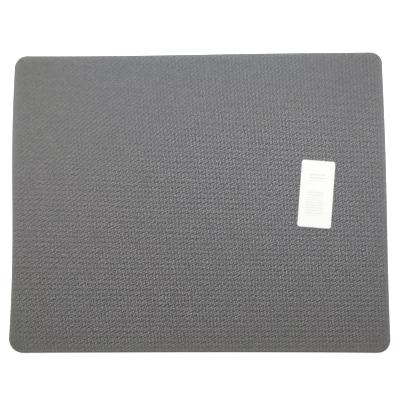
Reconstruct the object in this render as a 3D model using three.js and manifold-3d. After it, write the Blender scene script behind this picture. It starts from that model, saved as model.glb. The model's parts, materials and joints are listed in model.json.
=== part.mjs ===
// Mouse pad lying face down, with its rubber underside up: a die-cut laminate of cloth, bonding
// film and foam rubber, and a paper label stuck to the rubber.
// Millimetres, +Z up. The origin is the middle of the cloth face, which lies on z = 0.
// +X runs along the long side, +Y along the short side, and +Z points out of the rubber.

import * as THREE from "three";
import { mergeVertices } from "three/addons/utils/BufferGeometryUtils.js";
import Module from "manifold-3d";

const wasm = await Module();
wasm.setup();

// Die-cut outline, the same for all three layers
const padLength = 220;
const padWidth = 180;
const padCornerRadius = 7.5;

// Layers of the laminate, from the cloth face up
const clothThickness = 0.4;
const filmThickness = 0.1;
const rubberThickness = 1.5;

// Grip ribs on the rubber, left by the twill belt that the sheet is cured against
const ribPitch = 2.2;
const ribAngle = THREE.MathUtils.degToRad(41);
const grooveWidth = 0.9;
const grooveDepth = 0.15;

// Label, measured to its middle from the pad's right edge and from the pad's long centre line
const labelLength = 40;
const labelWidth = 20;
const labelCornerRadius = 1.2;
const labelEdgeDistance = 41;
const labelCentreLineOffset = 3.5;
const labelTurn = THREE.MathUtils.degToRad(-4.8);
const labelAdhesiveThickness = 0.05;
const labelPaperThickness = 0.1;

// Flat steps in each rounded corner, of which a shape's arc makes two for each curve segment
const cornerSteps = 12;
// How far a cutting solid reaches past the face that it cuts
const cutReach = 1;

const materials = {
  cloth: new THREE.MeshStandardMaterial({ color: 0x2a2b2d, roughness: 0.95, metalness: 0 }),
  film: new THREE.MeshStandardMaterial({ color: 0xcfccc2, roughness: 0.6, metalness: 0 }),
  rubber: new THREE.MeshStandardMaterial({ color: 0x767677, roughness: 0.85, metalness: 0 }),
  adhesive: new THREE.MeshStandardMaterial({ color: 0xe6e0cd, roughness: 0.5, metalness: 0 }),
  paper: new THREE.MeshStandardMaterial({ color: 0xf7f6f3, roughness: 0.7, metalness: 0 }),
};

// A rectangle with rounded corners, centred on the origin.
function roundedRectangle(length, width, radius) {
  const x = length / 2 - radius;
  const y = width / 2 - radius;
  const quarter = Math.PI / 2;
  return new THREE.Shape()
    .absarc(x, -y, radius, -quarter, 0)
    .absarc(x, y, radius, 0, quarter)
    .absarc(-x, y, radius, quarter, 2 * quarter)
    .absarc(-x, -y, radius, 2 * quarter, 3 * quarter);
}

// A plate of that outline, from z = 0 up.
function plate(outline, thickness) {
  return new THREE.ExtrudeGeometry(outline, {
    depth: thickness,
    bevelEnabled: false,
    curveSegments: cornerSteps / 2,
  });
}

// A bar with V grooves across its top, one rib pitch apart, which reaches past the pad's corners
// at any rib angle. Its ribs run along X, and a crest lies over the origin.
function groovedBar(top) {
  const reach = Math.hypot(padLength, padWidth) / 2;
  const grooves = Math.ceil(reach / ribPitch);
  const side = (grooves + 0.5) * ribPitch;
  const section = new THREE.Shape().moveTo(-side, -cutReach).lineTo(side, -cutReach).lineTo(side, top);
  for (let i = grooves - 1; i >= -grooves; i--) {
    const middle = (i + 0.5) * ribPitch;
    section.lineTo(middle + grooveWidth / 2, top);
    section.lineTo(middle, top - grooveDepth);
    section.lineTo(middle - grooveWidth / 2, top);
  }
  section.lineTo(-side, top);
  return new THREE.ExtrudeGeometry(section, { depth: 2 * reach, bevelEnabled: false })
    .translate(0, 0, -reach)
    .rotateX(Math.PI / 2)
    .rotateZ(Math.PI / 2);
}

// A closed geometry as a solid that can be cut.
function solidOf(geometry) {
  const bare = geometry.clone().deleteAttribute("normal").deleteAttribute("uv");
  const merged = mergeVertices(bare);
  return new wasm.Manifold(
    new wasm.Mesh({
      numProp: 3,
      vertProperties: merged.getAttribute("position").array,
      triVerts: new Uint32Array(merged.index.array),
    }),
  );
}

// The common part of two closed geometries.
function intersection(first, second) {
  const mesh = solidOf(first).intersect(solidOf(second)).getMesh();
  const geometry = new THREE.BufferGeometry();
  geometry.setAttribute("position", new THREE.BufferAttribute(mesh.vertProperties, 3));
  geometry.setIndex(new THREE.BufferAttribute(mesh.triVerts, 1));
  geometry.computeVertexNormals();
  return geometry;
}

// A named mesh with its lower face at the given height.
function piece(name, geometry, material, bottom) {
  const mesh = new THREE.Mesh(geometry, material);
  mesh.name = name;
  mesh.position.z = bottom;
  return mesh;
}

// Cloth, film and ribbed rubber, each on top of the last.
function laminate() {
  const outline = roundedRectangle(padLength, padWidth, padCornerRadius);
  const ribbedRubber = intersection(
    groovedBar(rubberThickness).rotateZ(ribAngle),
    plate(outline, rubberThickness + cutReach),
  );
  const group = new THREE.Group();
  group.add(
    piece("cloth_face", plate(outline, clothThickness), materials.cloth, 0),
    piece("bond_film", plate(outline, filmThickness), materials.film, clothThickness),
    piece("rubber_base", ribbedRubber, materials.rubber, clothThickness + filmThickness),
  );
  return group;
}

// Label paper on its adhesive, which lies on the rib crests.
function label() {
  const outline = roundedRectangle(labelWidth, labelLength, labelCornerRadius);
  const group = new THREE.Group();
  group.position.set(
    padLength / 2 - labelEdgeDistance,
    labelCentreLineOffset,
    clothThickness + filmThickness + rubberThickness,
  );
  group.rotation.z = labelTurn;
  group.add(
    piece("label_adhesive", plate(outline, labelAdhesiveThickness), materials.adhesive, 0),
    piece("label_paper", plate(outline, labelPaperThickness), materials.paper, labelAdhesiveThickness),
  );
  return group;
}

const mousePad = new THREE.Group();
mousePad.add(laminate(), label());

export default mousePad;
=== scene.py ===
"""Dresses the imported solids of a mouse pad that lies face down.

From the table up it has a knitted cloth face, a bonding film, a foam rubber base with a woven grip
on top, and a paper label on its adhesive. Lengths are in metres, in the frame of the solids. Left,
right, far and near are as the camera sees the pad.
"""

import json
import logging
import math
from abc import ABC, abstractmethod
from dataclasses import dataclass, field
from enum import Enum
from typing import Mapping, Sequence, Union

import bpy
import numpy as np
from mathutils import Matrix, Vector

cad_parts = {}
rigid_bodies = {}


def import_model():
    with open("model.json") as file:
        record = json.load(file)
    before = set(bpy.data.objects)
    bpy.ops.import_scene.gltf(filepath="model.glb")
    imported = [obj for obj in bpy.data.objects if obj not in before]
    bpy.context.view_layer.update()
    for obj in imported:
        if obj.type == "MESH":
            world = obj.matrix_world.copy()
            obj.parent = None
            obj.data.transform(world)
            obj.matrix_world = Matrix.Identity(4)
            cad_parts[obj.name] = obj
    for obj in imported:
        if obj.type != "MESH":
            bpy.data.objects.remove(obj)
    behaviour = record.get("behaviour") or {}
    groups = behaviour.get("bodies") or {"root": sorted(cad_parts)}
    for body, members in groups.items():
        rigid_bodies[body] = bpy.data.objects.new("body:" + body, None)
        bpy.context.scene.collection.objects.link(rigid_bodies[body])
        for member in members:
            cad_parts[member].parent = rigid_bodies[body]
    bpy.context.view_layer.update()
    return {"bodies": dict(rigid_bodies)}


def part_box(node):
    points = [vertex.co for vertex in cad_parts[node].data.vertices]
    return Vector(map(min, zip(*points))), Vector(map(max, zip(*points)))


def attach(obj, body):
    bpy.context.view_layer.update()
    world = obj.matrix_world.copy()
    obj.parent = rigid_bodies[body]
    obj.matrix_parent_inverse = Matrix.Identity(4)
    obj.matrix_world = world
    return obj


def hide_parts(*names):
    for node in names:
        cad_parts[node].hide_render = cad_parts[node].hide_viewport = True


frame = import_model()

log = logging.getLogger("mouse_pad")

MM = 0.001
OPAQUE = 1.0
# A part with no joints has one body
(BODY,) = frame["bodies"]

Colour = tuple[float, float, float]
Key = Union[str, int]
Number = Union[float, "Value"]
Input = Union[float, Sequence[float], "Value", bpy.types.NodeSocket]


class Slot(Enum):
    """Material slots of the record."""

    CLOTH = "cloth"
    FILM = "film"
    RUBBER = "rubber"
    ADHESIVE = "adhesive"
    PAPER = "paper"


class Stored(Enum):
    """What a mesh keeps at each vertex for its finish."""

    # The place on the square that the sheet was laid out from
    FLAT = "flat"
    # 0 on the face, 1 on the cut edge and the back
    CUT = "cut"
    # The angle through each family of ridges
    WEAVE = "weave"
    # How clearly each family of ridges is moulded
    GRIP = "grip"
    # How warm and how olive the rubber is, and how much bluish painted sheen lies on it
    TINT = "tint"
    # How much paler than its mean the rubber is painted: a painted highlight on its rim, and painted
    # shade in its middle and far corners
    TONE = "tone"


class Blend(Enum):
    """Ways to put two colours together."""

    MIX = "MIX"
    MULTIPLY = "MULTIPLY"


class Edge(Enum):
    """Sides of a sheet."""

    LEFT = "left"
    RIGHT = "right"
    FAR = "far"
    NEAR = "near"


class Corner(Enum):
    """Corners of a sheet, by the signs of their x and y."""

    FAR_LEFT = (-1, 1)
    FAR_RIGHT = (1, 1)
    NEAR_LEFT = (-1, -1)
    NEAR_RIGHT = (1, -1)


class Facing(Enum):
    """Which way a sheet's shaped face points."""

    UP = 1
    DOWN = -1


# Shader maths


class Value:
    """A number on a shader socket, whose arithmetic adds Math nodes."""

    def __init__(self, tree: "ShaderTree", socket: bpy.types.NodeSocket) -> None:
        """Wraps one output socket of a tree."""
        self.tree = tree
        self.socket = socket

    def math(self, operation: str, *others: Number) -> "Value":
        """Returns the result of one Math node on this value and the others."""
        inputs = dict(enumerate((self, *others)))
        return self.tree.value("ShaderNodeMath", {"operation": operation}, inputs)

    def __add__(self, other: Number) -> "Value":
        """Returns the sum."""
        return self.math("ADD", other)

    __radd__ = __add__

    def __mul__(self, other: Number) -> "Value":
        """Returns the product."""
        return self.math("MULTIPLY", other)

    __rmul__ = __mul__

    def __sub__(self, other: Number) -> "Value":
        """Returns the difference."""
        return self.math("SUBTRACT", other)

    def __rsub__(self, other: float) -> "Value":
        """Returns a number less this value."""
        return self * -1.0 + other

    def __truediv__(self, other: float) -> "Value":
        """Returns this value divided by a number."""
        return self * (1.0 / other)

    def cosine(self) -> "Value":
        """Returns the cosine of this value in radians."""
        return self.math("COSINE")

    def centred(self) -> "Value":
        """Returns a value from 0 to 1 as one from -0.5 to 0.5."""
        return self - 0.5

    def lifted(self) -> "Value":
        """Returns a value from -1 to 1 as one from 0 to 1."""
        return self / 2 + 0.5

    def clamped(self) -> "Value":
        """Returns this value held between 0 and 1."""
        return self.math("MAXIMUM", 0.0).math("MINIMUM", 1.0)

    def between(self, start: float, end: float) -> "Value":
        """Returns a straight rise from 0 at start to 1 at end, held outside."""
        return ((self - start) / (end - start)).clamped()


class ShaderTree:
    """The nodes of one material or world."""

    # Sockets of a Mix node for colours, which share their names with those for numbers
    MIX_FACTOR = 0
    MIX_FIRST = 6
    MIX_SECOND = 7
    MIX_RESULT = 2

    def __init__(self, owner: Union[bpy.types.Material, bpy.types.World]) -> None:
        """Empties the node tree of a material or world.

        Args:
            owner: The material or world.
        """
        owner.use_nodes = True
        self.owner = owner
        self.nodes = owner.node_tree.nodes
        self.links = owner.node_tree.links
        self.nodes.clear()

    @classmethod
    def material(cls, name: str) -> "ShaderTree":
        """Returns the tree of a new material of that name."""
        return cls(bpy.data.materials.new(name))

    def node(
        self, kind: str, settings: Mapping[str, object], inputs: Mapping[Key, Input]
    ) -> bpy.types.Node:
        """Adds a node.

        Args:
            kind: The node's type.
            settings: Its own settings, which are set first.
            inputs: Values or links of its input sockets, by name or number.

        Returns:
            The node.
        """
        made = self.nodes.new(kind)
        for name, setting in settings.items():
            setattr(made, name, setting)
        for key, given in inputs.items():
            socket = made.inputs[key]
            if isinstance(given, Value):
                given = given.socket
            if isinstance(given, bpy.types.NodeSocket):
                self.links.new(given, socket)
            elif socket.type == "RGBA":
                socket.default_value = (*given, OPAQUE)
            else:
                socket.default_value = given
        return made

    def value(
        self,
        kind: str,
        settings: Mapping[str, object],
        inputs: Mapping[Key, Input],
        output: Key = 0,
    ) -> Value:
        """Adds a node and returns one of its outputs as a value."""
        return Value(self, self.node(kind, settings, inputs).outputs[output])

    def split(self, vector: bpy.types.NodeSocket) -> list[Value]:
        """Returns the three numbers of a vector."""
        parts = self.node("ShaderNodeSeparateXYZ", {}, {0: vector})
        return [Value(self, output) for output in parts.outputs]

    def vector(self, stored: Stored) -> list[Value]:
        """Returns the three numbers of a vector that the mesh keeps."""
        kept = self.node("ShaderNodeAttribute", {"attribute_name": stored.value}, {})
        return self.split(kept.outputs["Vector"])

    def number(self, stored: Stored) -> Value:
        """Returns a number that the mesh keeps."""
        return self.value("ShaderNodeAttribute", {"attribute_name": stored.value}, {}, "Fac")

    def coordinates(self) -> bpy.types.NodeSocket:
        """Returns the object coordinates."""
        return self.node("ShaderNodeTexCoord", {}, {}).outputs["Object"]

    def noise(
        self, size: float, detail: float = 2.0, stretch: Sequence[float] = (1, 1, 1)
    ) -> Value:
        """Adds noise on the object coordinates.

        Args:
            size: The size of its largest grains.
            detail: How many finer layers it has.
            stretch: What the coordinates are multiplied by first.

        Returns:
            A value from 0 to 1, with its middle near 0.5.
        """
        factors = {0: self.coordinates(), 1: stretch}
        scaled = self.node("ShaderNodeVectorMath", {"operation": "MULTIPLY"}, factors)
        inputs = {"Vector": scaled.outputs[0], "Scale": 1.0 / size, "Detail": detail}
        return self.value("ShaderNodeTexNoise", {}, inputs, "Fac")

    def grain(self, size: float) -> Value:
        """Returns even-sized grains over the flat of the pad, from 0 to 1, with no slow swells."""
        inputs = {"Vector": self.coordinates(), "Scale": 1.0 / size, "Detail": 0.0}
        return self.value("ShaderNodeTexNoise", {"noise_dimensions": "2D"}, inputs, "Fac")

    def cells(self, size: float, smooth: bool = False) -> Value:
        """Adds small rounded cells.

        Args:
            size: The size of a cell.
            smooth: Whether the cells run into each other.

        Returns:
            The distance from the middle of the nearest cell.
        """
        settings = {"feature": "SMOOTH_F1" if smooth else "F1"}
        inputs = {"Vector": self.coordinates(), "Scale": 1.0 / size}
        return self.value("ShaderNodeTexVoronoi", settings, inputs, "Distance")

    def specks(self, size: float) -> Value:
        """Adds small cells that differ from one to the next.

        Args:
            size: The size of a cell.

        Returns:
            A number from 0 to 1, the same all over a cell.
        """
        inputs = {"Vector": self.coordinates(), "Scale": 1.0 / size}
        colour = self.node("ShaderNodeTexVoronoi", {}, inputs).outputs["Color"]
        return self.value("ShaderNodeSeparateColor", {}, {0: colour})

    def mixed(
        self, factor: Number, first: Input, second: Input, blend: Blend = Blend.MIX
    ) -> bpy.types.NodeSocket:
        """Puts two colours together.

        Args:
            factor: How much the second colour counts, from 0 to 1.
            first: The first colour.
            second: The second colour.
            blend: The way that they are put together.

        Returns:
            The socket of the new colour.
        """
        settings = {"data_type": "RGBA", "blend_type": blend.value}
        inputs = {self.MIX_FACTOR: factor, self.MIX_FIRST: first, self.MIX_SECOND: second}
        return self.node("ShaderNodeMix", settings, inputs).outputs[self.MIX_RESULT]

    def multiplied(self, first: Input, second: Input) -> bpy.types.NodeSocket:
        """Returns the product of two colours."""
        return self.mixed(1.0, first, second, Blend.MULTIPLY)

    def grey(self, tone: Value) -> bpy.types.NodeSocket:
        """Returns a grey of that lightness."""
        return self.node("ShaderNodeCombineColor", {}, {0: tone, 1: tone, 2: tone}).outputs[0]

    def bumped(self, height: Value, distance: float) -> bpy.types.NodeSocket:
        """Returns the normal of a surface with that relief."""
        return self.node("ShaderNodeBump", {}, {"Height": height, "Distance": distance}).outputs[0]

    def principled(self, inputs: Mapping[Key, Input]) -> bpy.types.Material:
        """Closes the tree with a Principled shader.

        Args:
            inputs: Values or links of the shader's sockets.

        Returns:
            The material.
        """
        shader = self.node("ShaderNodeBsdfPrincipled", {}, inputs)
        self.node("ShaderNodeOutputMaterial", {}, {"Surface": shader.outputs[0]})
        return self.owner

    def seen(self) -> Value:
        """Tells the rays that show a backdrop from those that light the pad.

        Returns:
            1 for rays from the camera, off a gloss or through glass, and 0 for light.
        """
        path = self.node("ShaderNodeLightPath", {}, {})
        rays = (f"Is {kind} Ray" for kind in ("Camera", "Glossy", "Transmission"))
        camera, glossy, transmission = (Value(self, path.outputs[ray]) for ray in rays)
        return camera.math("MAXIMUM", glossy).math("MAXIMUM", transmission)


# Finishes


class Finish(ABC):
    """How the surface of one piece looks."""

    @abstractmethod
    def material(self) -> bpy.types.Material:
        """Returns the finish as a new material."""


@dataclass(frozen=True)
class GripRubber(Finish):
    """Grey foam rubber cured on a woven belt: painted shade in pits, dust and painted highlight on
    crests, cut cells at the rim.
    """

    # Lightness of a pit, which is painted shade, and of a crest, partly dust and partly painted
    # highlight, and the power that makes the shades between look even
    pit: float = 0.005
    crest: float = 0.595
    evenness: float = 2.2
    middle: float = 0.5
    # Tints, and the patches that they drift in; the last is the colour of the bluish sheen painted
    # on the far rim
    cool: Colour = (0.993, 0.990, 1.019)
    neutral: Colour = (0.999, 0.996, 0.986)
    warm: Colour = (1.026, 0.981, 0.990)
    olive: Colour = (1.035, 1.024, 0.922)
    blue_sheen: Colour = (0.963, 0.985, 1.055)
    hue_patch: float = 11 * MM
    hue_detail: float = 1.0
    hue_change: float = 1.6
    # Crests are smoother than pits
    roughness: float = 0.78
    roughness_range: float = 0.39
    gloss: float = 0.2
    # How much the ridges' painted shade and highlight change the face's colour, and the finer
    # threads where twill meets rows or columns
    twill_shade: float = 0.0475
    row_shade: float = 0.0425
    column_shade: float = 0.052
    crossing_shade: float = 0.096
    float_shade: float = 0.073
    float_phase: float = math.radians(25)
    float_reach: float = 0.6
    # Mottle, which follows the grip, with the part of the specks that stays on bare rubber
    twill_share: float = 0.5
    speck: float = 0.62 * MM
    speck_shade: float = 0.108
    bare_speck: float = 0.6
    grain: float = 0.50 * MM
    grain_shade: float = 0.89
    tone_patch: float = 5 * MM
    tone_change: float = 0.039
    relief: float = 0.05 * MM
    thread_relief: float = 0.25
    # Foam cells that show on the cut edge
    cell: float = 0.16 * MM
    cell_range: tuple[float, float] = (0.05, 0.5)
    cell_shade: float = 0.45
    cut_shade: float = 0.44

    def material(self) -> bpy.types.Material:
        """Shades the face by its threads and mottle, and the cut edge by its cells.

        Returns:
            The material.
        """
        tree = ShaderTree.material("grip_rubber")
        twill, row, column = tree.vector(Stored.WEAVE)
        twill_grip, row_grip, column_grip = tree.vector(Stored.GRIP)
        crossing = (twill + row).cosine() * row_grip
        float_grip = (twill_grip * column_grip).math("POWER", self.float_reach)
        floats = (twill + column + self.float_phase).cosine() * float_grip
        # Painted shade in the pits and painted highlight on the crests, on top of the relief's own
        # shading
        weave = (
            twill.cosine() * twill_grip * self.twill_shade
            + row.cosine() * row_grip * self.row_shade
            + column.cosine() * column_grip * self.column_shade
            - crossing * self.crossing_shade
            + floats * self.float_shade
        )
        other_share = (1 - self.twill_share) / 2
        grip = twill_grip * self.twill_share + (row_grip + column_grip) * other_share
        speck_grip = grip * (1 - self.bare_speck) + self.bare_speck
        specks = tree.specks(self.speck).centred() * speck_grip
        grain = tree.grain(self.grain).centred() * grip
        patches = tree.noise(self.tone_patch).centred() * self.tone_change
        mottle = specks * self.speck_shade + grain * self.grain_shade + patches
        # TONE adds the painted highlight on the rim and the painted shade in the middle and far
        # corners
        shade = (weave + mottle + tree.number(Stored.TONE) + self.middle).clamped()
        cut = tree.number(Stored.CUT)
        cells = tree.cells(self.cell)
        cut_shade = cells.between(*self.cell_range).centred() * self.cell_shade + self.cut_shade
        tone = tree.mixed(cut, tree.grey(self.tone(shade)), tree.grey(self.tone(cut_shade)))
        relief = (floats - crossing) * self.thread_relief + grain + cells * cut
        return tree.principled(
            {
                "Base Color": tree.multiplied(tone, self.tint(tree)),
                "Roughness": (self.middle - shade) * self.roughness_range + self.roughness,
                "Specular IOR Level": self.gloss,
                "Normal": tree.bumped(relief, self.relief),
            }
        )

    def tone(self, shade: Value) -> Value:
        """Returns the lightness of a shade from 0, a pit, to 1, a crest."""
        low, high = (lightness ** (1 / self.evenness) for lightness in (self.pit, self.crest))
        return (shade * (high - low) + low).math("POWER", self.evenness)

    def tint(self, tree: ShaderTree) -> bpy.types.NodeSocket:
        """Tints the rubber in patches, from cool to warm, olive at parts of the rim, and a bluish
        painted sheen at its far rim.

        Args:
            tree: The tree that the tint is for.

        Returns:
            The socket of the tint, which the rubber's grey is multiplied by.
        """
        warmth, olive_rim, sheen_rim = tree.vector(Stored.TINT)
        patches = tree.noise(self.hue_patch, self.hue_detail).centred() * self.hue_change
        patched = warmth + patches
        cooler = tree.mixed(patched.between(0.0, self.middle), self.cool, self.neutral)
        inner = tree.mixed(patched.between(self.middle, 1.0), cooler, self.warm)
        # A bluish sheen painted along the far rim
        bluish = tree.mixed((sheen_rim + patches * sheen_rim).clamped(), inner, self.blue_sheen)
        return tree.mixed((olive_rim + patches * olive_rim).clamped(), bluish, self.olive)


@dataclass(frozen=True)
class KnitCloth(Finish):
    """Matte dark polyester knit, with fine wales along the pad's length."""

    valley: Colour = (0.012, 0.0125, 0.0135)
    loop: Colour = (0.040, 0.041, 0.044)
    # Stitches, and the angle that a course leans by along a wale
    wale: float = 0.55 * MM
    course: float = 0.42 * MM
    lean: float = 1.1
    relief: float = 0.08 * MM
    # Loose fibres, and slow clouds of wear
    fuzz: float = 0.3 * MM
    fuzz_detail: float = 3.0
    fuzz_share: float = 0.25
    fuzz_relief: float = 0.3
    cloud: float = 25 * MM
    cloud_change: float = 0.2
    roughness: float = 0.92
    loop_smoothness: float = 0.1
    gloss: float = 0.2
    sheen: float = 0.25
    sheen_roughness: float = 0.4

    def material(self) -> bpy.types.Material:
        """Shades the cloth by its loops and fibres.

        Returns:
            The material.
        """
        tree = ShaderTree.material("knit_cloth")
        along, across, _ = tree.split(tree.coordinates())
        wales = (across * (math.tau / self.wale)).cosine()
        courses = (along * (math.tau / self.course) + wales * self.lean).cosine()
        loops = ((wales + courses) / 2).lifted()
        fuzz = tree.noise(self.fuzz, self.fuzz_detail)
        cloud = tree.noise(self.cloud).centred() * self.cloud_change
        shade = (loops * (1 - self.fuzz_share) + fuzz * self.fuzz_share + cloud).clamped()
        return tree.principled(
            {
                "Base Color": tree.mixed(shade, self.valley, self.loop),
                "Roughness": self.roughness - shade * self.loop_smoothness,
                "Specular IOR Level": self.gloss,
                "Sheen Weight": self.sheen,
                "Sheen Roughness": self.sheen_roughness,
                "Normal": tree.bumped(loops + fuzz * self.fuzz_relief, self.relief),
            }
        )


@dataclass(frozen=True)
class BondFilm(Finish):
    """Milky hot-melt film, with flow streaks along the pad from the laminating rolls."""

    clear: Colour = (0.50, 0.48, 0.43)
    milky: Colour = (0.68, 0.66, 0.60)
    streak: float = 6 * MM
    streak_detail: float = 3.0
    streak_stretch: tuple[float, float, float] = (0.15, 1.0, 1.0)
    roughness: float = 0.5
    roughness_range: float = 0.3
    relief: float = 0.02 * MM

    def material(self) -> bpy.types.Material:
        """Shades the film by its streaks.

        Returns:
            The material.
        """
        tree = ShaderTree.material("bond_film")
        streaks = tree.noise(self.streak, self.streak_detail, self.streak_stretch)
        return tree.principled(
            {
                "Base Color": tree.mixed(streaks, self.clear, self.milky),
                "Roughness": streaks.centred() * self.roughness_range + self.roughness,
                "Normal": tree.bumped(streaks, self.relief),
            }
        )


@dataclass(frozen=True)
class Adhesive(Finish):
    """Tacky yellowish adhesive, with trapped air bubbles."""

    thin: Colour = (0.70, 0.65, 0.52)
    thick: Colour = (0.86, 0.81, 0.68)
    bubble: float = 1.5 * MM
    bubble_range: tuple[float, float] = (0.1, 0.8)
    roughness: float = 0.35
    roughness_range: float = 0.2
    relief: float = 0.02 * MM

    def material(self) -> bpy.types.Material:
        """Shades the adhesive by its bubbles.

        Returns:
            The material.
        """
        tree = ShaderTree.material("label_adhesive")
        bubbles = tree.cells(self.bubble, smooth=True)
        thickness = bubbles.between(*self.bubble_range)
        return tree.principled(
            {
                "Base Color": tree.mixed(thickness, self.thin, self.thick),
                "Roughness": bubbles * self.roughness_range + self.roughness,
                "Normal": tree.bumped(bubbles, self.relief),
            }
        )


@dataclass(frozen=True, kw_only=True)
class BarBlock:
    """A block of plain even bars across the label, by its ends along and across the label."""

    low: float
    high: float
    left: float
    right: float
    # A bar and its gap, the share of them that is bar, and the strength of its ink
    pitch: float
    share: float = 0.35
    ink: float = 0.4
    # How softly the block ends, and how softly each bar does, as a share of the pitch
    soft_end: float = 0.15 * MM
    soft_bar: float = 0.12

    def mask(self, across: Value, along: Value) -> Value:
        """Works out how much ink lies at a place on the label.

        Args:
            across: How far the place lies across the label from its middle.
            along: How far it lies along the label from its middle.

        Returns:
            The ink, from 0 to 1.
        """
        from_bar = ((along - self.low) / self.pitch).math("PINGPONG", 0.5)
        half_bar = self.share / 2
        bars = from_bar.between(half_bar + self.soft_bar, half_bar - self.soft_bar)
        inside = self.band(along, self.low, self.high) * self.band(across, self.left, self.right)
        return bars * inside * self.ink

    def band(self, place: Value, start: float, end: float) -> Value:
        """Returns 1 between two ends and 0 outside them."""
        soft = self.soft_end
        return place.between(start - soft, start + soft) * place.between(end + soft, end - soft)


@dataclass(frozen=True)
class LabelPaper(Finish):
    """White label paper with faint plain bars, painted lighter towards its near end and its right
    side, where the lamp's light falls off.
    """

    half_size: tuple[float, float]
    # Paper colours that the fibres and the painted light mix between, darker at the far end
    shade: Colour = (0.858, 0.853, 0.848)
    white: Colour = (0.990, 0.984, 0.962)
    near_painted_light: float = 0.75
    side_painted_light: float = 0.2
    fibre: float = 0.5 * MM
    fibre_detail: float = 4.0
    fibre_change: float = 0.25
    relief: float = 0.01 * MM
    roughness: float = 0.6
    roughness_range: float = 0.2
    gloss: float = 0.3
    # Ink, rubbed off in small spots
    ink: Colour = (0.42, 0.41, 0.42)
    wear: float = 1.4 * MM
    wear_detail: float = 3.0
    wear_range: tuple[float, float] = (-0.2, 0.8)
    blocks: tuple[BarBlock, ...] = (
        BarBlock(low=7.8 * MM, high=12.0 * MM, left=-4.8 * MM, right=4.6 * MM, pitch=1.9 * MM),
        BarBlock(low=-2.6 * MM, high=1.4 * MM, left=-5.2 * MM, right=4.2 * MM, pitch=1.7 * MM),
        BarBlock(
            low=-13.2 * MM,
            high=-3.6 * MM,
            left=-6.2 * MM,
            right=4.6 * MM,
            pitch=1.6 * MM,
            share=0.4,
            ink=0.3,
        ),
    )

    def material(self) -> bpy.types.Material:
        """Shades the paper by its fibres, and prints the bars on it.

        Returns:
            The material.
        """
        tree = ShaderTree.material("label_paper")
        right, far, _ = tree.vector(Stored.FLAT)
        half_across, half_along = self.half_size
        across, along = right * half_across, far * half_along
        printed = sum((block.mask(across, along) for block in self.blocks), 0.0)
        worn = tree.noise(self.wear, self.wear_detail).between(*self.wear_range)
        fibres = tree.noise(self.fibre, self.fibre_detail)
        # Painted light: the paper is lighter towards its near end and its right side, where the lamp
        # gives less light
        painted_lightening = (1 - far.lifted()) * self.near_painted_light + right.lifted() * self.side_painted_light
        paper = tree.mixed(fibres * self.fibre_change + painted_lightening, self.shade, self.white)
        return tree.principled(
            {
                "Base Color": tree.mixed(printed * worn, paper, self.ink),
                "Roughness": fibres.centred() * self.roughness_range + self.roughness,
                "Specular IOR Level": self.gloss,
                "Normal": tree.bumped(fibres, self.relief),
            }
        )


# Outlines


@dataclass(frozen=True, kw_only=True)
class Wander:
    """How far a cut edge strays from straight, in terms that run from one end to the other."""

    shift: float = 0.0
    tilt: float = 0.0
    wave: float = 0.0
    bow: float = 0.0
    flare: float = 0.0
    flare_power: int = 8

    def at(self, along: np.ndarray) -> np.ndarray:
        """Adds up the terms.

        Args:
            along: Places from -1 to 1 along the edge.

        Returns:
            How far the edge strays there.
        """
        turn = math.pi * along
        straight = self.shift + self.tilt * along
        curved = self.wave * np.sin(turn) + self.bow * np.cos(turn)
        return straight + curved + self.flare * along**self.flare_power


@dataclass(frozen=True)
class Outline:
    """A cut outline: a rectangle with rounded corners and edges that stray a little."""

    half_x: float
    half_y: float
    radii: Mapping[Corner, float]
    wander: Mapping[Edge, Wander]
    centre: tuple[float, float] = (0.0, 0.0)
    turn: float = 0.0

    def points(self, flat: np.ndarray, inset: np.ndarray) -> np.ndarray:
        """Lays a square onto the outline.

        Args:
            flat: Places on a square from -1 to 1, one row each.
            inset: How far inside the outline the square's sides lie, for each place.

        Returns:
            The places on the outline, one row each.
        """
        spin = np.array(Matrix.Rotation(self.turn, 2))
        return (self.rounded(flat, inset) + self.strayed(flat)) @ spin.T + np.array(self.centre)

    def rounded(self, flat: np.ndarray, inset: np.ndarray) -> np.ndarray:
        """Lays a square onto the outline's rectangle and rounds its corners.

        Args:
            flat: Places on a square from -1 to 1, one row each.
            inset: How far inside the outline the square's sides lie, for each place.

        Returns:
            The places, one row each.
        """
        half = np.array([self.half_x, self.half_y]) - inset[:, None]
        point = flat * half
        for corner, full_radius in self.radii.items():
            sign = np.array(corner.value)
            radius = (full_radius - inset)[:, None]
            # Each corner's own square is bent onto a quarter of a disc
            local = (point * sign - (half - radius)) / radius
            inside = (local > 0).all(axis=1)
            bent = local * np.sqrt(1 - np.square(local[:, ::-1].clip(0, 1)) / 2)
            moved = sign * (half - radius * (1 - bent))
            point = np.where(inside[:, None], moved, point)
        return point

    def strayed(self, flat: np.ndarray) -> np.ndarray:
        """Works out how far places stray with the edges on both sides of them.

        Args:
            flat: Places on a square from -1 to 1, one row each.

        Returns:
            How far they stray in x and in y, one row each.
        """
        x, y = flat.T
        right, far = (x + 1) / 2, (y + 1) / 2
        wander = self.wander
        in_x = (1 - right) * wander[Edge.LEFT].at(y) + right * wander[Edge.RIGHT].at(y)
        in_y = (1 - far) * wander[Edge.NEAR].at(x) + far * wander[Edge.FAR].at(x)
        return np.column_stack([in_x, in_y])


# Grip


@dataclass(frozen=True)
class SmoothNoise:
    """Seeded smooth noise over the pad: a sum of plane waves of about one length."""

    seed: int
    length: float
    waves: int = 24
    spread: tuple[float, float] = (0.7, 1.6)

    def at(self, point: np.ndarray) -> np.ndarray:
        """Adds up the waves.

        Args:
            point: Places on the pad, one row each.

        Returns:
            Noise of mean 0 and deviation 1 at those places.
        """
        random = np.random.default_rng(self.seed)
        angle = random.uniform(0, math.tau, self.waves)
        length = self.length * random.uniform(*self.spread, self.waves)
        start = random.uniform(0, math.tau, self.waves)
        vector = math.tau / length * np.stack([np.cos(angle), np.sin(angle)])
        return np.cos(point @ vector + start).sum(axis=1) * math.sqrt(2 / self.waves)


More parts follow.
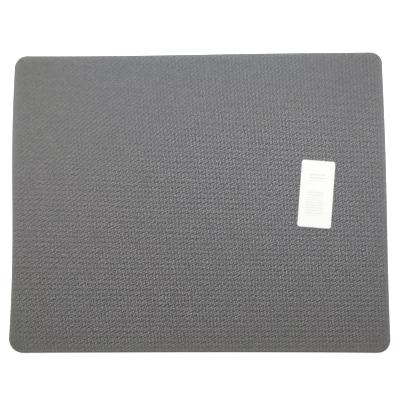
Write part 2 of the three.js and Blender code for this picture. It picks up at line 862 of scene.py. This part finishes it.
def rise(value: np.ndarray, start: float, end: float) -> np.ndarray:
    """Returns a smooth rise from 0 at start to 1 at end."""
    share = ((value - start) / (end - start)).clip(0, 1)
    return share * share * (3 - 2 * share)


@dataclass(frozen=True)
class Fade:
    """How the grip weakens towards an edge: its least strength, and where it starts and is full."""

    least: float = 1.0
    start: float = 0.0
    full: float = 1.0

    def at(self, distance: np.ndarray) -> np.ndarray:
        """Returns the strength at distances from the edge."""
        return self.least + (1 - self.least) * rise(distance, self.start, self.full)


@dataclass(frozen=True, kw_only=True)
class Threads:
    """One family of even ridges that the belt's threads leave.

    The ridges fan out from the pad's middle and crowd together towards its far side, both given
    per metre. A fade that leans reaches further in at one end: the far and near ones at the left,
    and the left one at the far side.
    """

    pitch: float
    slant: float
    height: float
    fan: float
    crowding: float = 0.0
    crowded_from: float = 20 * MM
    far: Fade
    left: Fade
    near: Fade = Fade()
    far_lean: float = 0.0
    left_lean: float = 0.0
    near_lean: float = 0.0

    def phase(self, point: np.ndarray) -> np.ndarray:
        """Works out the angle through the ridges.

        Args:
            point: Places on the pad, one row each.

        Returns:
            The angles in radians, with no jumps from one turn to the next.
        """
        x, y = point.T
        crowded = y + self.crowding * np.square((y - self.crowded_from).clip(0, None))
        across = math.sin(self.slant) * x - math.cos(self.slant) * crowded - self.fan * x * y
        return math.tau / self.pitch * across

    def strength(self, point: np.ndarray, half_length: float, half_width: float) -> np.ndarray:
        """Works out how clearly the ridges are moulded, from their fades.

        Args:
            point: Places on the pad, one row each.
            half_length: Half of the pad's length.
            half_width: Half of its width.

        Returns:
            The strengths, 1 away from the edges.
        """
        x, y = point.T
        from_far = half_width - y + self.far_lean * x
        from_left = half_length + x - self.left_lean * y
        from_near = half_width + y - self.near_lean * x
        return self.far.at(from_far) * self.left.at(from_left) * self.near.at(from_near)


@dataclass(frozen=True)
class GripWeave:
    """The woven grip of the rubber, with its ridges, their strength and their unevenness."""

    half_length: float
    half_width: float
    twill: Threads = Threads(
        pitch=2.19 * MM,
        slant=math.radians(41.5),
        height=0.045 * MM,
        fan=-0.12,
        crowding=1.0,
        far=Fade(0.41, 0.0, 75 * MM),
        left=Fade(0.65, -5 * MM, 35 * MM),
        near=Fade(0.45, 0.0, 28 * MM),
        left_lean=0.4,
        near_lean=0.2,
    )
    rows: Threads = Threads(
        pitch=3.06 * MM,
        slant=math.radians(-1.75),
        height=0.045 * MM,
        fan=0.34,
        crowding=-4.0,
        far=Fade(0.12, 25 * MM, 80 * MM),
        left=Fade(0.63, 0.0, 80 * MM),
        far_lean=0.18,
    )
    columns: Threads = Threads(
        pitch=2.02 * MM,
        slant=math.radians(94.2),
        height=0.040 * MM,
        fan=0.51,
        far=Fade(0.52, 0.0, 55 * MM),
        left=Fade(0.08, -5 * MM, 110 * MM),
        left_lean=0.6,
    )
    # Fades that all the ridges share
    right: Fade = Fade(0.67, 0.0, 40 * MM)
    right_lean: float = 0.3
    near: Fade = Fade(0.85, 0.0, 20 * MM)
    rim: Fade = Fade(0.4, 0.0, 6 * MM)
    near_corner: Fade = Fade(0.45, 0.0, 32 * MM)
    far_left_corner: Fade = Fade(0.55, 0.0, 50 * MM)
    # Unevenness of the ridges' places and of their strength
    jitter: float = 0.1
    jitter_length: float = 12 * MM
    patchiness: float = 0.1
    patch_length: float = 12 * MM
    patch_range: tuple[float, float] = (0.3, 1.7)

    def families(self) -> tuple[Threads, ...]:
        """Returns the families of ridges in the order that the finish reads them."""
        return self.twill, self.rows, self.columns

    def phases(self, point: np.ndarray) -> np.ndarray:
        """Works out the angle through each family of ridges.

        Args:
            point: Places on the pad, one row each.

        Returns:
            The angles: a row for each place, a column for each family.
        """
        angles = [
            family.phase(point) + self.jitter * SmoothNoise(seed, self.jitter_length).at(point)
            for seed, family in enumerate(self.families())
        ]
        return np.column_stack(angles)

    def strengths(self, point: np.ndarray) -> np.ndarray:
        """Works out how clearly each family of ridges is moulded.

        Args:
            point: Places on the pad, one row each.

        Returns:
            The strengths, about 1 in the middle: a row for each place, a column for each family.
        """
        x, y = point.T
        from_left, from_right = self.half_length + x, self.half_length - x
        from_near, from_far = self.half_width + y, self.half_width - y
        from_side = np.minimum(from_left, from_right)
        rim = self.rim.at(np.minimum(from_side, from_near))
        near_corner = self.near_corner.at(np.hypot(from_side, from_near))
        far_corner = self.far_left_corner.at(np.hypot(from_left, from_far))
        sides = self.near.at(from_near) * self.right.at(from_right - self.right_lean * y)
        shared = rim * near_corner * far_corner * sides
        half_size = (self.half_length, self.half_width)
        strengths = [
            shared * family.strength(point, *half_size) * self.patches(seed, point)
            for seed, family in enumerate(self.families())
        ]
        return np.column_stack(strengths)

    def patches(self, seed: int, point: np.ndarray) -> np.ndarray:
        """Returns the uneven strength of one family of ridges at places."""
        noise = SmoothNoise(len(self.families()) + seed, self.patch_length).at(point)
        return (1 + self.patchiness * noise).clip(*self.patch_range)

    def height(self, point: np.ndarray) -> np.ndarray:
        """Returns the surface's height at places, 0 at the highest crests and less elsewhere."""
        heights = np.array([family.height for family in self.families()])
        return (self.strengths(point) * (np.cos(self.phases(point)) - 1)) @ heights


@dataclass(frozen=True)
class Ramp:
    """A smooth rise along one direction over the pad, from nothing to its full amount."""

    start: float
    end: float
    amount: float = 1.0

    def at(self, value: np.ndarray) -> np.ndarray:
        """Returns the amount at places along the direction."""
        return self.amount * rise(value, self.start, self.end)


@dataclass(frozen=True)
class TintMap:
    """Where the rubber turns warm or olive, at its left and near sides, and where a bluish sheen is
    painted, at its far one.
    """

    warm_left: Ramp = Ramp(-25 * MM, 90 * MM)
    warm_lean: float = 1.0
    warm_near: Ramp = Ramp(11 * MM, 78 * MM)
    near_rim: Ramp = Ramp(72 * MM, 87 * MM, 0.7)
    left_rim: Ramp = Ramp(82 * MM, 106 * MM)
    left_rim_reach: Ramp = Ramp(15 * MM, 70 * MM)
    olive_far: Ramp = Ramp(10 * MM, 60 * MM)
    olive_left: Ramp = Ramp(50 * MM, 100 * MM)
    olive_corner: float = 0.45
    # A bluish sheen painted along the far rim, away from the corners
    sheen_far: Ramp = Ramp(62 * MM, 86 * MM, 0.9)
    sheen_left: Ramp = Ramp(-90 * MM, -35 * MM)
    sheen_right: Ramp = Ramp(-90 * MM, -45 * MM)

    def at(self, point: np.ndarray) -> np.ndarray:
        """Works out the tints.

        Args:
            point: Places on the pad, one row each.

        Returns:
            The warmth, the olive and the bluish painted sheen, from 0 to 1, one row for each place.
        """
        right, far = point.T
        corner = self.olive_far.at(far) * self.olive_left.at(-right)
        warm_left = self.warm_left.at(-right - self.warm_lean * far) * (1 - corner)
        warmth = np.maximum(warm_left, self.warm_near.at(-far))
        near_rim = self.near_rim.at(-far)
        left_rim = self.left_rim.at(-right) * self.left_rim_reach.at(-far)
        olive = np.maximum.reduce([near_rim, left_rim, corner * self.olive_corner])
        blue_sheen = self.sheen_far.at(far) * self.sheen_left.at(right) * self.sheen_right.at(-right)
        return np.column_stack([warmth, olive, blue_sheen])


@dataclass(frozen=True)
class PaintedLightMap:
    """Where the rubber is painted paler, a painted highlight on its rim, or darker, painted shade in
    its middle and its far corners.
    """

    half_length: float
    half_width: float
    # Painted highlight along the rim, weaker along the near edge
    rim: float = 1.5 * MM
    rim_highlight: float = 0.105
    near_rim_highlight: float = 0.06
    # Painted shade in the far corners and in a broad patch about the middle
    corner: Ramp = Ramp(60 * MM, 0.0, -0.03)
    middle: Ramp = Ramp(75 * MM, 10 * MM, -0.012)
    middle_place: tuple[float, float] = (-20 * MM, -10 * MM)

    def at(self, flat: np.ndarray) -> np.ndarray:
        """Works out the tones.

        Args:
            flat: Places on the square that the rubber is laid out from, one row each.

        Returns:
            How much paler the painted light makes the shade there.
        """
        x, y = flat[:, 0] * self.half_length, flat[:, 1] * self.half_width
        from_side = self.half_length - np.abs(x)
        from_far, from_near = self.half_width - y, self.half_width + y
        rim = self.rim_highlight * np.exp(-np.minimum(from_side, from_far) / self.rim)
        near_rim = self.near_rim_highlight * np.exp(-from_near / self.rim)
        corner = self.corner.at(np.hypot(from_side, from_far))
        middle_x, middle_y = self.middle_place
        middle = self.middle.at(np.hypot(x - middle_x, y - middle_y))
        return np.maximum(rim, near_rim) + corner + middle


# Sheets


def vectors(kept: bpy.types.bpy_prop_collection, key: str) -> np.ndarray:
    """Reads a vector for each vertex of a mesh.

    Args:
        kept: The vertices, or what is stored for them.
        key: The name of the vector there.

    Returns:
        The vectors, one row each.
    """
    values = np.zeros(len(kept) * 3, np.float32)
    kept.foreach_get(key, values)
    return values.reshape(-1, 3).astype(float)


@dataclass(kw_only=True)
class CutSheet:
    """A layer cut from sheet: a gridded face, a rounded rim, a wall and a plain back."""

    name: str
    node: str
    slot: Slot
    finish: Finish
    outline: Outline
    cells: tuple[int, int]
    facing: Facing = Facing.UP
    rim: float
    rim_steps: int = 3
    wall_steps: int = 1
    hollow: float = 0.0
    smooth_angle: float = math.radians(40)
    face: float = field(init=False)
    thickness: float = field(init=False)
    piece: bpy.types.Object = field(init=False)

    def __post_init__(self) -> None:
        """Takes the height of the face and the thickness from the solid."""
        low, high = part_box(self.node)
        self.face = high.z if self.facing is Facing.UP else low.z
        self.thickness = high.z - low.z

    def build(self) -> None:
        """Builds the sheet at its place."""
        bpy.ops.object.select_all(action="DESELECT")
        across, along = self.cells
        bpy.ops.mesh.primitive_grid_add(
            x_subdivisions=across, y_subdivisions=along, size=2, location=(0, 0, 0)
        )
        self.piece = bpy.context.object
        self.piece.name = self.name
        self.piece.data.name = self.name
        self.store(Stored.FLAT, self.positions())
        self.raise_wall()
        self.lay_out()

    def dress(self) -> None:
        """Gives the piece its finish and puts it on the pad in place of its solid."""
        self.piece.data.materials.append(self.finish.material())
        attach(self.piece, BODY)
        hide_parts(self.node)

    def triangles(self) -> int:
        """Returns how many triangles the piece has."""
        return sum(len(polygon.vertices) - 2 for polygon in self.piece.data.polygons)

    def positions(self) -> np.ndarray:
        """Returns the places of the vertices, one row each."""
        return vectors(self.piece.data.vertices, "co")

    def flat(self) -> np.ndarray:
        """Returns the places on the square that the sheet was laid out from, one row each."""
        return vectors(self.piece.data.attributes[Stored.FLAT.value].data, "vector")[:, :2]

    def store(self, stored: Stored, values: np.ndarray) -> None:
        """Keeps a number or a vector for each vertex.

        Args:
            stored: What it is.
            values: The numbers, or the vectors, one row each.
        """
        kind, key = ("FLOAT_VECTOR", "vector") if values.ndim == 2 else ("FLOAT", "value")
        attribute = self.piece.data.attributes.new(stored.value, kind, "POINT")
        attribute.data.foreach_set(key, values.astype(np.float32).ravel())

    def depths(self) -> list[float]:
        """Works out the rings of the sheet's edge.

        Returns:
            Their depths below the face, down the rounded rim and then the wall.
        """
        angles = np.linspace(0, math.pi / 2, self.rim_steps + 1)[1:]
        rim = self.rim * (1 - np.cos(angles))
        wall = np.linspace(self.rim, self.thickness, self.wall_steps + 1)[1:]
        return [*rim.tolist(), *wall.tolist()]

    def raise_wall(self) -> None:
        """Extrudes the face's border ring by ring, and closes the back."""
        bpy.ops.object.mode_set(mode="EDIT")
        bpy.ops.mesh.select_mode(type="EDGE")
        bpy.ops.mesh.select_all(action="DESELECT")
        bpy.ops.mesh.select_non_manifold()
        reached = 0.0
        for depth in self.depths():
            bpy.ops.mesh.extrude_edges_move(
                TRANSFORM_OT_translate={"value": (0, 0, reached - depth)}
            )
            reached = depth
        bpy.ops.mesh.edge_face_add()
        bpy.ops.object.mode_set(mode="OBJECT")

    def lay_out(self) -> None:
        """Moves every vertex from the square to the sheet's outline, rim and height."""
        depth = -self.positions()[:, 2]
        above_wall = (self.rim - depth).clip(0, None)
        rounding = self.rim - np.sqrt(self.rim**2 - np.square(above_wall))
        down_wall = ((depth - self.rim) / (self.thickness - self.rim)).clip(0, 1)
        drawn_in = self.hollow * np.sin(math.pi * down_wall)
        point = self.outline.points(self.flat(), rounding + drawn_in)
        face_share = (1 - depth / self.rim).clip(0, 1)
        height = self.face + self.facing.value * (self.relief(point) * face_share - depth)
        self.place(np.column_stack([point, height]))
        self.store(Stored.CUT, 1 - face_share)

    def relief(self, point: np.ndarray) -> np.ndarray:
        """Returns how far the face stands out from its plane at places, one row each."""
        return np.zeros(len(point))

    def place(self, position: np.ndarray) -> None:
        """Sets the vertices' places, points the faces outwards and smooths them.

        Args:
            position: The places, one row each.
        """
        mesh = self.piece.data
        mesh.vertices.foreach_set("co", position.astype(np.float32).ravel())
        mesh.update()
        bpy.ops.object.mode_set(mode="EDIT")
        bpy.ops.mesh.select_all(action="SELECT")
        bpy.ops.mesh.normals_make_consistent(inside=False)
        bpy.ops.object.mode_set(mode="OBJECT")
        bpy.ops.object.shade_smooth_by_angle(angle=self.smooth_angle)


@dataclass(kw_only=True)
class GripSheet(CutSheet):
    """The rubber base, whose face carries the woven grip."""

    weave: GripWeave
    tints: TintMap = TintMap()

    def relief(self, point: np.ndarray) -> np.ndarray:
        """Returns the grip's height at places, one row each."""
        return self.weave.height(point)

    def dress(self) -> None:
        """Keeps the weave, the tints and the painted light for the finish, and dresses the piece."""
        point = self.positions()[:, :2]
        painted_tones = PaintedLightMap(self.outline.half_x, self.outline.half_y)
        self.store(Stored.WEAVE, self.weave.phases(point))
        self.store(Stored.GRIP, self.weave.strengths(point))
        self.store(Stored.TINT, self.tints.at(point))
        self.store(Stored.TONE, painted_tones.at(self.flat()))
        super().dress()


@dataclass(kw_only=True)
class LabelSheet(CutSheet):
    """The label paper, through which the grip below shows a little."""

    weave: GripWeave
    show_through: float = 0.15

    def relief(self, point: np.ndarray) -> np.ndarray:
        """Returns the height of the crests that press through, one row each."""
        return self.show_through * self.weave.height(point)


# Sub-assemblies


class Assembly(ABC):
    """Sheets that belong together."""

    @abstractmethod
    def sheets(self) -> tuple[CutSheet, ...]:
        """Returns the sheets in the order that they are built."""

    def build(self) -> None:
        """Builds the meshes of the sheets."""
        for sheet in self.sheets():
            sheet.build()

    def dress(self) -> None:
        """Gives the sheets their finishes."""
        for sheet in self.sheets():
            sheet.dress()


@dataclass
class Laminate(Assembly):
    """Cloth, film and rubber, cut together to one outline."""

    corner_radii: Mapping[Corner, float] = field(
        default_factory=lambda: {
            Corner.FAR_LEFT: 7.4 * MM,
            Corner.FAR_RIGHT: 6.9 * MM,
            Corner.NEAR_LEFT: 8.9 * MM,
            Corner.NEAR_RIGHT: 7.9 * MM,
        }
    )
    wander: Mapping[Edge, Wander] = field(
        default_factory=lambda: {
            Edge.LEFT: Wander(
                shift=-0.17 * MM, tilt=0.54 * MM, wave=-0.87 * MM, bow=0.08 * MM, flare=-0.10 * MM
            ),
            Edge.RIGHT: Wander(
                shift=0.13 * MM, tilt=-0.29 * MM, wave=0.30 * MM, bow=0.19 * MM, flare=0.08 * MM
            ),
            Edge.FAR: Wander(
                shift=0.27 * MM, tilt=0.15 * MM, wave=0.26 * MM, bow=-0.04 * MM, flare=0.25 * MM
            ),
            Edge.NEAR: Wander(
                shift=0.15 * MM, tilt=-0.80 * MM, wave=0.05 * MM, bow=0.12 * MM, flare=-0.28 * MM
            ),
        }
    )
    layer_cells: tuple[int, int] = (110, 90)
    film_rim: float = 0.02 * MM
    cloth_rim: float = 0.15 * MM
    rubber_cells: tuple[int, int] = (416, 218)
    rubber_rim: float = 0.25 * MM
    rubber_wall_steps: int = 2
    rubber_hollow: float = 0.06 * MM
    rubber_fill: float = 1.0
    outline: Outline = field(init=False)
    weave: GripWeave = field(init=False)
    film: CutSheet = field(init=False)
    cloth: CutSheet = field(init=False)
    rubber: GripSheet = field(init=False)

    def __post_init__(self) -> None:
        """Takes the outline's size from the rubber solid, and sets out the layers."""
        low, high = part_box("rubber_base")
        half_length, half_width = (high.x - low.x) / 2, (high.y - low.y) / 2
        self.outline = Outline(half_length, half_width, self.corner_radii, self.wander)
        self.weave = GripWeave(half_length, half_width)
        self.film = CutSheet(
            name="bonding_film",
            node="bond_film",
            slot=Slot.FILM,
            finish=BondFilm(),
            outline=self.outline,
            cells=self.layer_cells,
            rim=self.film_rim,
        )
        self.cloth = CutSheet(
            name="cloth_working_face",
            node="cloth_face",
            slot=Slot.CLOTH,
            finish=KnitCloth(),
            outline=self.outline,
            cells=self.layer_cells,
            facing=Facing.DOWN,
            rim=self.cloth_rim,
        )
        self.rubber = GripSheet(
            name="grip_rubber_base",
            node="rubber_base",
            slot=Slot.RUBBER,
            finish=GripRubber(),
            outline=self.outline,
            cells=self.rubber_cells,
            rim=self.rubber_rim,
            wall_steps=self.rubber_wall_steps,
            hollow=self.rubber_hollow,
            weave=self.weave,
        )

    def sheets(self) -> tuple[CutSheet, ...]:
        """Returns the layers in the order that they are built."""
        return self.film, self.cloth, self.rubber

    def dress(self) -> None:
        """Dresses the layers, and works out the area inside their outline, which nothing uses."""
        super().dress()
        length, width = 2 * self.outline.half_x, 2 * self.outline.half_y
        corner_loss = sum(radius**2 for radius in self.corner_radii.values()) * (1 - math.pi / 4)
        length * width - corner_loss


@dataclass
class Label(Assembly):
    """The paper label on its adhesive, stuck to the rubber."""

    weave: GripWeave
    half_width: float = 9.85 * MM
    half_length: float = 20.3 * MM
    corner_radius: float = 1.6 * MM
    turn: float = math.radians(-5.1)
    adhesive_inset: float = 0.15 * MM
    adhesive_cells: tuple[int, int] = (24, 48)
    adhesive_rim: float = 0.015 * MM
    paper_cells: tuple[int, int] = (48, 96)
    paper_rim: float = 0.03 * MM
    adhesive: CutSheet = field(init=False)
    paper: LabelSheet = field(init=False)

    def __post_init__(self) -> None:
        """Sets out the adhesive and the paper."""
        self.adhesive = CutSheet(
            name="label_adhesive_layer",
            node="label_adhesive",
            slot=Slot.ADHESIVE,
            finish=Adhesive(),
            outline=self.outline(self.adhesive_inset),
            cells=self.adhesive_cells,
            rim=self.adhesive_rim,
        )
        self.paper = LabelSheet(
            name="label_paper_sheet",
            node="label_paper",
            slot=Slot.PAPER,
            finish=LabelPaper((self.half_width, self.half_length)),
            outline=self.outline(),
            cells=self.paper_cells,
            rim=self.paper_rim,
            weave=self.weave,
        )

    def outline(self, inset: float = 0.0) -> Outline:
        """Draws the label's outline where its solid lies.

        Args:
            inset: How far the outline is drawn in.

        Returns:
            The outline.
        """
        low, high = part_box("label_paper")
        middle = (low + high) / 2
        return Outline(
            self.half_width - inset,
            self.half_length - inset,
            {corner: self.corner_radius for corner in Corner},
            {edge: Wander() for edge in Edge},
            (middle.x, middle.y),
            self.turn,
        )

    def sheets(self) -> tuple[CutSheet, ...]:
        """Returns the adhesive and the paper."""
        return self.adhesive, self.paper


# Studio


@dataclass
class Studio:
    """Pale floor, soft light from behind the pad, and the camera above its near side."""

    camera_elevation: float = math.radians(76.23)
    camera_azimuth: float = math.radians(3.22)
    camera_roll: float = math.radians(-3.60)
    camera_distance: float = 1.178
    camera_target: tuple[float, float, float] = (0.54 * MM, 0.94 * MM, 0.0)
    lens: float = 180.0
    sensor: float = 36.0
    lamp_place: tuple[float, float, float] = (0.0, 0.14, 0.246)
    lamp_size: tuple[float, float] = (0.9, 0.15)
    lamp_power: float = 1.92
    lamp_colour: Colour = (0.99, 0.995, 1.0)
    room_colour: Colour = (1.0, 1.0, 1.0)
    fill: float = 0.08
    floor_size: float = 6.0
    floor_gap: float = 0.05 * MM
    floor_colour: Colour = (0.7, 0.7, 0.7)
    floor_glow: float = 0.94

    def build(self) -> None:
        """Builds the whole studio."""
        self.set_camera()
        self.set_lamp()
        self.set_world()
        self.lay_floor()
        bpy.context.scene.view_settings.view_transform = "Standard"

    def set_camera(self) -> None:
        """Stands the camera where the photograph was taken from."""
        rotation = (
            Matrix.Rotation(self.camera_azimuth, 4, "Z")
            @ Matrix.Rotation(math.pi / 2 - self.camera_elevation, 4, "X")
            @ Matrix.Rotation(self.camera_roll, 4, "Z")
        )
        back = rotation @ Vector((0, 0, self.camera_distance))
        bpy.ops.object.camera_add()
        camera = bpy.context.object
        camera.matrix_world = Matrix.Translation(Vector(self.camera_target) + back) @ rotation
        camera.data.lens = self.lens
        camera.data.sensor_width = self.sensor
        bpy.context.scene.camera = camera

    def set_lamp(self) -> None:
        """Hangs one wide soft lamp over the far edge, aimed at the pad's middle."""
        bpy.ops.object.light_add(type="AREA", location=self.lamp_place)
        lamp = bpy.context.object
        lamp.rotation_euler = (-Vector(self.lamp_place)).to_track_quat("-Z", "Y").to_euler()
        lamp.data.shape = "RECTANGLE"
        lamp.data.size, lamp.data.size_y = self.lamp_size
        lamp.data.energy = self.lamp_power
        lamp.data.color = self.lamp_colour
        lamp.visible_camera = False

    def set_world(self) -> None:
        """Fills the room with even light, and shows it as white."""
        world = bpy.data.worlds.new("studio")
        tree = ShaderTree(world)
        light = {"Color": self.room_colour, "Strength": tree.seen() * (1 - self.fill) + self.fill}
        background = tree.node("ShaderNodeBackground", {}, light)
        tree.node("ShaderNodeOutputWorld", {}, {"Surface": background.outputs[0]})
        bpy.context.scene.world = world

    def lay_floor(self) -> None:
        """Lays the pale floor just under the cloth, white to the camera but for the shadow."""
        bpy.ops.object.select_all(action="DESELECT")
        bpy.ops.mesh.primitive_plane_add(size=self.floor_size, location=(0, 0, -self.floor_gap))
        floor = bpy.context.object
        floor.name = "floor"
        tree = ShaderTree.material("pale_floor")
        diffuse = tree.node("ShaderNodeBsdfDiffuse", {}, {"Color": self.floor_colour})
        glow = tree.node("ShaderNodeEmission", {}, {"Strength": tree.seen() * self.floor_glow})
        both = tree.node("ShaderNodeAddShader", {}, {0: diffuse.outputs[0], 1: glow.outputs[0]})
        tree.node("ShaderNodeOutputMaterial", {}, {"Surface": both.outputs[0]})
        floor.data.materials.append(tree.owner)


def main() -> None:
    """Builds and dresses the pad, reports its pieces, and builds the studio round it."""
    logging.basicConfig(level=logging.INFO, format="%(message)s")
    laminate = Laminate()
    for assembly in (laminate, Label(laminate.weave)):
        assembly.build()
        assembly.dress()
        for sheet in assembly.sheets():
            log.info("%s: %d triangles", sheet.name, sheet.triangles())
    Studio().build()


if __name__ == "__main__":
    main()
